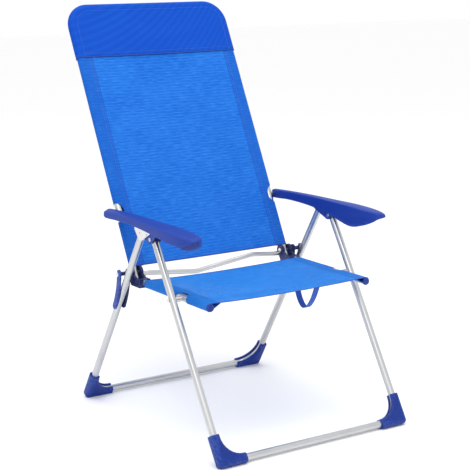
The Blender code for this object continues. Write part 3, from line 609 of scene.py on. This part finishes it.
# ---- Cloth ----
class Sling:
    """A cloth stretched between two tubes, with a sleeve round each.

    spot(s, v) is the place of the cloth's point: s metres across from its middle line, and v metres
    along the tubes. Past the tubes' outer sides s runs on behind them to the sleeve seams.
    """

    def __init__(self, origin, along, out, sag, low, high):
        self.origin, self.along, self.out = origin, along, out
        self.sag, self.low, self.high = sag, low, high
        # Values of s: where the flat ends, the outermost line, and where the sleeve leaves its tube.
        self.flat = RAIL_X
        self.edge = RAIL_X + CLOTH_R * pi / 2
        self.rear = RAIL_X + CLOTH_R * SLEEVE_TURN
        ends = self._round(SLEEVE_TURN)
        self.tail = hypot(ends[0] - SLEEVE_SEAM, ends[1] - self._panel(SLEEVE_SEAM, 0.5) + LAYER_GAP)
        self.half = self.rear + self.tail

    def _round(self, angle):
        """Place on a sleeve's round, as x and off the tubes' plane."""
        return RAIL_X + CLOTH_R * sin(angle), CLOTH_R * cos(angle)

    def _panel(self, x, share):
        """How far the flat of the cloth stands off the tubes' plane: it sags most at mid-length."""
        curve = 1 - (x / RAIL_X) ** 2
        ends = 0.55 + 0.45 * sin(pi * min(1.0, max(0.0, share)))
        return CLOTH_R - self.sag * ends * curve * (1.15 - 0.15 * curve)

    def spot(self, s, v):
        share = (v - self.low) / (self.high - self.low)
        s_abs, side = abs(s), 1 if s >= 0 else -1
        if s_abs <= self.flat:
            x, off = s_abs, self._panel(s_abs, share)
        elif s_abs <= self.rear:
            x, off = self._round((s_abs - self.flat) / CLOTH_R)
        else:
            start = self._round(SLEEVE_TURN)
            end = (SLEEVE_SEAM, self._panel(SLEEVE_SEAM, share) - LAYER_GAP)
            part = (s_abs - self.rear) / self.tail
            x = start[0] + (end[0] - start[0]) * part
            off = start[1] + (end[1] - start[1]) * part
        ripple = 0.00035 * noise.noise(Vector((s * 9.0, v * 34.0, 3.0)))
        return (self.origin + Vector((side * x, 0, 0)) + self.along * v
                + self.out * (off + (ripple if s_abs < self.edge else 0.0)))

    def ribs(self):
        """Values of s, closer together where the cloth turns round a tube."""
        count = 60
        half = [self.flat * k / count for k in range(count + 1)]
        half += [self.flat + (self.rear - self.flat) * k / 16 for k in range(1, 17)]
        half += [self.rear + self.tail * k / 8 for k in range(1, 9)]
        return [-s for s in half[:0:-1]] + half

    def piece(self, name, material, body, node, holes):
        """The cloth as a mesh, with a round hole cut through each sleeve at its outer side."""
        bm = bmesh.new()
        uv = bm.loops.layers.uv.new("metres")
        across = self.ribs()
        rows = round((self.high - self.low) / 0.0045)
        along = [self.low + (self.high - self.low) * k / rows for k in range(rows + 1)]
        flat = {}
        grid = []
        for v in along:
            line = []
            for s in across:
                vert = bm.verts.new((0, 0, 0))
                flat[vert] = Vector((s, v))
                line.append(vert)
            grid.append(line)
        inside = set()
        for line in grid:
            for vert in line:
                for centre, radius in holes:
                    away = flat[vert] - centre
                    if away.length < radius:
                        inside.add(vert)
                        flat[vert] = centre + away.normalized() * radius if away.length > 1e-6 else centre
        for low_line, high_line in zip(grid, grid[1:]):
            for k in range(len(across) - 1):
                corners = (low_line[k], low_line[k + 1], high_line[k + 1], high_line[k])
                if all(corner in inside for corner in corners):
                    continue
                face = bm.faces.new(corners)
                for loop, corner in zip(face.loops, corners):
                    loop[uv].uv = flat[corner]
        for vert in list(flat):
            if vert.link_faces:
                vert.co = self.spot(*flat[vert])
            else:
                bm.verts.remove(vert)
        made = add_piece(name, bm, material, body, [node], False)
        thick = made.modifiers.new("thickness", "SOLIDIFY")
        thick.thickness = CLOTH_T
        thick.offset = 0.0
        return made

    def line(self, v, start, end, step=ROW_STEP):
        """Row of (s, v) points across the cloth."""
        count = max(2, round(abs(end - start) / step))
        return [(start + (end - start) * k / count, v) for k in range(count + 1)]


def stitches(name, lines, surface, lift, body, thread=THREAD):
    """Rows of sewn stitches: each is a short thread that dips into the cloth at both ends.

    surface(s, v) is the place of a cloth's point, and lines holds rows of such (s, v) points.
    """
    near = 0.0004              # span over which the surface's slope is taken
    bm = bmesh.new()
    for line in lines:
        route = [surface(*spot) for spot in line]
        total, marks = 0.0, [0.0]
        for one, two in zip(route, route[1:]):
            total += (two - one).length
            marks.append(total)
        index = 0
        for k in range(int(total / STITCH_PITCH)):
            ends = []
            for share in (0.12, 0.5, 0.88):
                want = (k + share) * STITCH_PITCH
                while index < len(marks) - 2 and marks[index + 1] < want:
                    index += 1
                part = (want - marks[index]) / max(1e-9, marks[index + 1] - marks[index])
                s = line[index][0] + (line[index + 1][0] - line[index][0]) * part
                v = line[index][1] + (line[index + 1][1] - line[index][1]) * part
                out = (surface(s + near, v) - surface(s - near, v)).cross(
                    surface(s, v + near) - surface(s, v - near)).normalized()
                rise = lift if share == 0.5 else lift - STITCH_DIP
                ends.append(surface(s, v) + out * rise)
            rings = swept(bm, ends, circle(THREAD_R, 6))
            bm.faces.new(rings[0])
            bm.faces.new(rings[-1])
    return add_piece(name, bm, thread, body)


def binding(name, points, out, body, size=HEM_SIZE):
    """Rolled hem along an edge of cloth: a soft oval roll of folded cloth, coloured a deeper blue as
    painted shade.
    """
    width, height = size
    bm = bmesh.new()
    section = [(width / 2 * cos(2 * pi * k / 14), height / 2 * sin(2 * pi * k / 14)) for k in range(14)]
    rings = swept(bm, points, section, out)
    bm.faces.new(rings[0])
    bm.faces.new(rings[-1])
    return add_piece(name, bm, SHADED_BINDING, body)


def sewn_edges(sling, body, ends):
    """A sling's hems, and its rows of stitches: one at each open end and two at each sleeve seam.

    ends holds the name, the v and the way inward (1 or -1) of each open end.
    """
    lines = []
    for word, v, inward in ends:
        reach = sling.half - HEM_SHORT
        route = [sling.spot(*place) for place in sling.line(v, -reach, reach, HEM_STEP)]
        binding(f"{body}_hem_{word}", route, -sling.out, body)
        reach = sling.edge - ROW_SHORT
        lines.append(sling.line(v + inward * HEM_IN, -reach, reach))
    length = sling.high - sling.low
    steps = round(length / ROW_STEP)
    for side in (-1, 1):
        for s in (SLEEVE_SEAM + SEAM_IN, SLEEVE_SEAM + SEAM_IN + ROW_GAP):
            lines.append([(side * s, sling.low + length * k / steps) for k in range(steps + 1)])
    stitches(f"{body}_stitching", lines, sling.spot, THREAD_LIFT, body)


back = Sling(BACK_FOOT, UP_BACK, OUT_BACK, BACK_SAG, BACK_CLOTH_LOW,
             BACK_LENGTH - BACK_CORNER_R - BACK_CLOTH_TOP)
notch_v = (ARM_PIN - BACK_FOOT).dot(UP_BACK) + BACK_NOTCH_RISE
back_cloth = back.piece("back_cloth", MESH_CLOTH, "back", "back_sling",
                        [(Vector((side * back.edge, notch_v)), BACK_NOTCH_R) for side in (-1, 1)])
sewn_edges(back, "back", [("lower", back.low, 1)])

seat_low, seat_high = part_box("seat_sling")
seat = Sling(Vector((0, seat_high.y, RAIL_Z)), Vector((0, -1, 0)), Vector((0, 0, 1)), SEAT_SAG,
             0.0, seat_high.y - seat_low.y)
notch_v = seat_high.y - LEG_PIN.y - SEAT_NOTCH_SHIFT
seat_cloth = seat.piece("seat_cloth", LIT_SEAT_CLOTH, "seat", "seat_sling",
                        [(Vector((side * seat.edge, notch_v)), SEAT_NOTCH_R) for side in (-1, 1)])
sewn_edges(seat, "seat", [("rear", seat.low, 1), ("front", seat.high, -1)])


# ---- Head cover ----
class Hood:
    """Cloth pocket over the top of the back: two faces at HOOD_R off the frame's plane, joined by a
    half-round rim that follows the side tubes, the bends and the top bar."""

    def __init__(self):
        self.low = BACK_LENGTH - HOOD_DEPTH
        self.bend = BACK_LENGTH - BACK_CORNER_R

    def width(self, v):
        if v <= self.bend:
            return RAIL_X
        return RAIL_X - BACK_CORNER_R + sqrt(max(0.0, BACK_CORNER_R ** 2 - (v - self.bend) ** 2))

    def place(self, x, v, off):
        return BACK_FOOT + Vector((x, 0, 0)) + UP_BACK * v + OUT_BACK * off

    def face(self, x, v, front):
        width = self.width(v)
        share = 1 - (x / width) ** 2 if width else 0.0
        high = min(1.0, (BACK_LENGTH - v) / 0.06)
        dip = HOOD_DIP * share * (0.15 + 0.85 * high * (2 - high))
        crease = HOOD_CREASE * noise.noise(Vector((x * 17.0, v * 25.0, 1.0 if front else 8.0)))
        fade = min(1.0, 6 * share) * min(1.0, (v - self.low) / 0.02)
        off = HOOD_R - dip + crease * fade
        return self.place(x, v, off if front else -off)

    def rows(self):
        straight = [self.low + (self.bend - self.low) * k / 20 for k in range(20)]
        return straight + [self.bend + BACK_CORNER_R * sin(pi / 2 * k / 14) for k in range(15)]

    def rim(self):
        """(x, v, outward x, outward v) along the edge, up the right tube, over and down the left."""
        side = [(self.width(v), v) for v in self.rows()]
        top_width = self.width(BACK_LENGTH)
        points = []
        for x, v in side:
            lean = 0.0 if v <= self.bend else asin(min(1.0, (v - self.bend) / BACK_CORNER_R))
            points.append((x, v, cos(lean), sin(lean)))
        for c in self.columns()[-2:0:-1]:
            points.append((c * top_width, BACK_LENGTH, 0.0, 1.0))
        points += [(-x, v, -nx, nv) for x, v, nx, nv in points[:len(side)][::-1]]
        return points

    def columns(self):
        return [sin(pi / 2 * k / 28) for k in range(-28, 29)]

    def piece(self):
        bm = bmesh.new()
        uv = bm.loops.layers.uv.new("metres")
        rows, columns = self.rows(), self.columns()
        spots = {}

        def face_of(corners):
            face = bm.faces.new(corners)
            for loop in face.loops:
                loop[uv].uv = spots[loop.vert]

        grids = {}
        for front in (True, False):
            grid = []
            for v in rows:
                line = []
                for c in columns:
                    x = c * self.width(v)
                    vert = bm.verts.new(self.face(x, v, front))
                    spots[vert] = Vector((x, v if front else 2 * BACK_LENGTH - v))
                    line.append(vert)
                grid.append(line)
            grids[front] = grid
            for low_line, high_line in zip(grid, grid[1:]):
                for k in range(len(columns) - 1):
                    face_of((low_line[k], low_line[k + 1], high_line[k + 1], high_line[k]))

        def boundary(grid):
            last = len(columns) - 1
            return ([line[last] for line in grid] + [grid[-1][k] for k in range(last - 1, 0, -1)]
                    + [line[0] for line in grid[::-1]])

        edges = {front: boundary(grids[front]) for front in (True, False)}
        before = edges[True]
        turns = 10
        for turn in range(1, turns + 1):
            angle = pi / 2 - pi * turn / turns
            if turn == turns:
                now = edges[False]
            else:
                now = []
                for x, v, nx, nv in self.rim():
                    out = HOOD_R * cos(angle)
                    vert = bm.verts.new(self.place(x + nx * out, v + nv * out, HOOD_R * sin(angle)))
                    bend = HOOD_R * (pi / 2 - angle)
                    spots[vert] = Vector((x + nx * bend, v + nv * bend))
                    now.append(vert)
            for k in range(len(now) - 1):
                face_of((before[k], before[k + 1], now[k + 1], now[k]))
            before = now
        made = add_piece("head_cover_cloth", bm, HOOD_CLOTH, "back", ["head_cover"])
        thick = made.modifiers.new("thickness", "SOLIDIFY")
        thick.thickness = HOOD_T
        thick.offset = 0.0
        return made

    def hem_route(self):
        """The pocket's mouth: across the front, round the tube, and back behind."""
        route = [self.face(c * RAIL_X, self.low, True) for c in self.columns()]
        for turn in range(1, 12):
            angle = pi / 2 - pi * turn / 12
            route.append(self.place(RAIL_X + HOOD_R * cos(angle), self.low, HOOD_R * sin(angle)))
        route += [self.face(c * RAIL_X, self.low, False) for c in self.columns()[::-1]]
        for turn in range(1, 12):
            angle = -pi / 2 + pi * turn / 12
            route.append(self.place(-RAIL_X - HOOD_R * cos(angle), self.low, HOOD_R * sin(angle)))
        return route + [route[0].copy()]


hood = Hood()
hood_cloth = hood.piece()
binding("head_cover_hem", hood.hem_route(), -UP_BACK.cross(Vector((1, 0, 0))), "back",
        HOOD_HEM_SIZE)

seam_x = RAIL_X + HOOD_R - HOOD_SEAM_IN
right_half = [(seam_x, hood.low + (hood.bend - hood.low) * k / 24) for k in range(25)]
seam_r = BACK_CORNER_R + HOOD_R - HOOD_SEAM_IN
for k in range(1, 15):
    angle = pi / 2 * k / 14
    right_half.append((RAIL_X - BACK_CORNER_R + seam_r * cos(angle), hood.bend + seam_r * sin(angle)))
seam_line = right_half + [(-x, v) for x, v in right_half[::-1]]
hem_reach = RAIL_X - HOOD_ROW_SHORT
hem_line = [(hem_reach * (2 * k / 90 - 1), hood.low + HOOD_HEM_IN) for k in range(91)]
stitches("head_cover_stitching", [seam_line, hem_line],
         lambda x, v: hood.face(x, v, True), HOOD_THREAD_LIFT, "back", HOOD_THREAD)


# ---- Closure strap ----
def smooth_route(knots, steps):
    """Points along a Catmull-Rom curve through the knots."""
    ends = [knots[0] * 2 - knots[1]] + knots + [knots[-1] * 2 - knots[-2]]
    route = []
    for before, start, end, after in zip(ends, ends[1:], ends[2:], ends[3:]):
        for step in range(steps):
            t = step / steps
            route.append(0.5 * (2 * start + (end - before) * t
                                + (2 * before - 5 * start + 4 * end - after) * t ** 2
                                + (3 * start - before - 3 * end + after) * t ** 3))
    return route + [knots[-1]]


def strap():
    """The hanging loop of webbing. Returns the piece, its length and its width."""
    low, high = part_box("closure_strap")
    half_w = (high.x - low.x) / 2 - STRAP_SIDE_GAP
    size = high - low
    knots = [Vector(((low.x + high.x) / 2,
                     low.y + STRAP_HALF_T + (size.y - 2 * STRAP_HALF_T) * a,
                     low.z + STRAP_HALF_T + (size.z - STRAP_HALF_T) * b)) for a, b in STRAP_KNOTS]
    route = smooth_route(knots, 9)
    face = STRAP_HALF_T * 0.85
    ribs = [half_w - 2 * half_w * k / 7 for k in range(8)]
    section = [(-face, rib) for rib in ribs] + [(face, -rib) for rib in ribs]
    bm = bmesh.new()
    rings = swept(bm, route, section, Vector((1, 0, 0)))
    for ring in (rings[0], rings[-1]):
        bm.faces.new(ring)
    made = add_piece("closure_strap_webbing", bm, WEBBING, "seat", ["closure_strap"])
    soften(made, 0.0005, 50)
    return made, sum((b - a).length for a, b in zip(route, route[1:])), 2 * half_w


strap_piece, strap_length, strap_width = strap()


# ---- Armrests ----
def arm_section(y, wall):
    """Centre x, half width, outer and inner skirt z, top z and how full the section is, at y."""
    rows = ARM_STATIONS
    for k in range(len(rows) - 1):
        if rows[k][0] >= y >= rows[k + 1][0]:
            break
    one, two = rows[k], rows[k + 1]
    before, after = rows[max(k - 1, 0)], rows[min(k + 2, len(rows) - 1)]
    run = two[0] - one[0]
    t = (y - one[0]) / run
    values = []
    for n in range(1, 6):
        m1 = (two[n] - before[n]) / (two[0] - before[0]) * run
        m2 = (after[n] - one[n]) / (after[0] - one[0]) * run
        values.append((2 * t ** 3 - 3 * t ** 2 + 1) * one[n] + (t ** 3 - 2 * t ** 2 + t) * m1
                      + (3 * t ** 2 - 2 * t ** 3) * two[n] + (t ** 3 - t ** 2) * m2)
    x, half, low_out, low_in, high = values
    rear, front = ARM_STATIONS[0][0] - wall, ARM_STATIONS[-1][0] + wall
    close = 1.0
    for reach, radius in ((rear - y, ARM_REAR_ROUND), (y - front, ARM_FRONT_ROUND)):
        part = 1 - min(1.0, max(0.0, reach) / radius)
        close = min(close, sqrt(max(0.0, 1 - part ** 2.4)))
    return x, (half - wall) * close, low_out, low_in, high - wall * 1.2, close


def arm_skin(bm, side, wall):
    """Half-open skin of an armrest. Returns its rows of vertices, rear to front."""
    rear, front = ARM_STATIONS[0][0] - wall, ARM_STATIONS[-1][0] + wall
    rows = []
    for step in range(85):
        y = rear + (front - rear) * (0.5 - 0.5 * cos(pi * step / 84))
        x, half, low_out, low_in, high, close = arm_section(y, wall)
        inner_r, outer_r = min(ARM_INNER_EDGE_R, half * 0.4), min(ARM_OUTER_EDGE_R, half * 0.7)
        high -= (1 - close) * ARM_END_DROP
        crown, camber = ARM_CROWN * close, ARM_CAMBER * close
        outline = []
        for k in range(7):
            outline.append((-half, low_in + (high - inner_r - low_in) * k / 6))
        for k in range(1, 8):
            angle = pi - pi / 2 * k / 7
            outline.append((-half + inner_r + inner_r * cos(angle), high - inner_r + inner_r * sin(angle)))
        flat_from, flat_to = inner_r - half, half - outer_r
        for k in range(1, 12):
            part = k / 12
            outline.append((flat_from + (flat_to - flat_from) * part,
                            high + crown * 4 * part * (1 - part) - camber * part ** 2))
        for k in range(8):
            angle = pi / 2 - pi / 2 * k / 7
            outline.append((half - outer_r + outer_r * cos(angle),
                            high - camber - outer_r + outer_r * sin(angle)))
        for k in range(1, 7):
            top = high - camber - outer_r
            outline.append((half, top + (low_out - top) * k / 6))
        rows.append([bm.verts.new((side * (x + dx), y, z)) for dx, z in outline])
    for here, there in zip(rows, rows[1:]):
        for k in range(len(here) - 1):
            bm.faces.new((here[k], here[k + 1], there[k + 1], there[k]))
    return rows


def armrest(word, side):
    bm = bmesh.new()
    outer, inner = arm_skin(bm, side, 0.0), arm_skin(bm, side, ARM_WALL)
    for k in range(len(outer) - 1):
        for end in (0, -1):
            bm.faces.new((outer[k][end], outer[k + 1][end], inner[k + 1][end], inner[k][end]))
    bmesh.ops.remove_doubles(bm, verts=bm.verts, dist=0.00005)
    bmesh.ops.dissolve_degenerate(bm, edges=bm.edges, dist=0.00002)
    return add_piece(f"armrest_shell_{word}", bm, ARM_PLASTIC, "armrests",
                     [f"armrest_{word}"])


# ---- Bracket plates ----
def bracket_plate(word, side):
    """Thin pressed plate on the outer side of a bracket, with two small rivet heads."""
    low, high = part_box(f"front_leg_rivet_{word}")
    face = max(abs(low.x), abs(high.x)) + PLATE_GAP
    bm = bmesh.new()
    rim = [bm.verts.new((side * face, y, z)) for y, z in PLATE_OUTLINE]
    grown = bmesh.ops.extrude_face_region(bm, geom=[bm.faces.new(rim)])
    moved = [item for item in grown["geom"] if isinstance(item, bmesh.types.BMVert)]
    bmesh.ops.translate(bm, verts=moved, vec=(side * PLATE_T, 0, 0))
    soften(add_piece(f"bracket_plate_{word}", bm, PLATE, "armrests"), 0.0004, 30)
    bm = bmesh.new()
    for y, z in PLATE_RIVETS:
        rings = []
        for k in range(5):
            lean = pi / 2 * k / 5
            centre = Vector((side * (face + PLATE_T + RIVET_R * 0.45 * sin(lean)), y, z))
            rings.append([bm.verts.new(centre + Vector((0, a, b)))
                          for a, b in circle(RIVET_R * cos(lean), 16)])
        for here, there in zip(rings, rings[1:]):
            for k in range(16):
                j = (k + 1) % 16
                bm.faces.new((here[k], here[j], there[j], there[k]))
        bm.faces.new(rings[-1])
        bm.faces.new(rings[0])
    add_piece(f"bracket_plate_rivets_{word}", bm, DARK_RIVET, "armrests")


# ---- Small pieces ----
PAINTED = (                    # CAD nodes that stay, less their side: material, rounding of edges
    ("hinge_clevis", DARK_PLASTIC, 0.0012),
    ("catch_lever_inner", DARK_PLASTIC, 0.0),
    ("catch_lever_outer", LEVER_PLASTIC, 0.0),
    ("catch_spacer", DARK_PLASTIC, 0.0),
    ("arm_spacer", DARK_PLASTIC, 0.0),
    ("seat_leg_spacer", ALUMINIUM, 0.0),
    ("leg_bracket", ARM_PLASTIC, 0.0005),
    ("front_foot", FOOT_PLASTIC, 0.0007),
    ("rear_foot", FOOT_PLASTIC, 0.0007),
    ("seat_end_cap", FOOT_PLASTIC, 0.0),
    ("hinge_bolt", STEEL, 0.0),
    ("seat_leg_bolt", STEEL, 0.0),
    ("arm_bolt", STEEL, 0.0),
    ("front_leg_rivet", DARK_RIVET, 0.0),
    ("rear_leg_rivet", DARK_RIVET, 0.0),
)
for word, side in (("left", 1), ("right", -1)):
    armrest(word, side)
    bracket_plate(word, side)
    for name, material, rounding in PAINTED:
        node = nodes[f"{name}_{word}"]
        node.data.materials.clear()
        node.data.materials.append(material)
        if rounding:
            soften(node, rounding, 32)


# ---- Studio ----
def studio():
    bm = bmesh.new()
    bmesh.ops.create_grid(bm, x_segments=8, y_segments=8, size=14.0)
    mesh = bpy.data.meshes.new("floor")
    bm.to_mesh(mesh)
    bm.free()
    mesh.materials.append(pale_floor("floor"))
    floor = bpy.data.objects.new("floor", mesh)
    bpy.context.scene.collection.objects.link(floor)

    world = bpy.data.worlds.new("studio")
    bpy.context.scene.world = world
    world.use_nodes = True
    background = world.node_tree.nodes["Background"]
    background.inputs["Color"].default_value = (1.0, 1.0, 1.0, 1.0)
    background.inputs["Strength"].default_value = 1.0

    def lamp(name, place, target, size, power):
        data = bpy.data.lights.new(name, "AREA")
        data.shape, data.size, data.size_y = "RECTANGLE", size[0], size[1]
        data.energy = power
        light = bpy.data.objects.new(name, data)
        bpy.context.scene.collection.objects.link(light)
        light.location = place
        light.rotation_mode = "QUATERNION"
        light.rotation_quaternion = (Vector(target) - Vector(place)).to_track_quat("-Z", "Y")

    lamp("overhead", (-0.3, -0.5, 3.4), (0, 0, 0.4), (3.0, 3.0), 58.0)
    lamp("key", (-1.9, -2.2, 2.6), (0, 0, 0.6), (0.9, 1.6), 16.0)


studio()
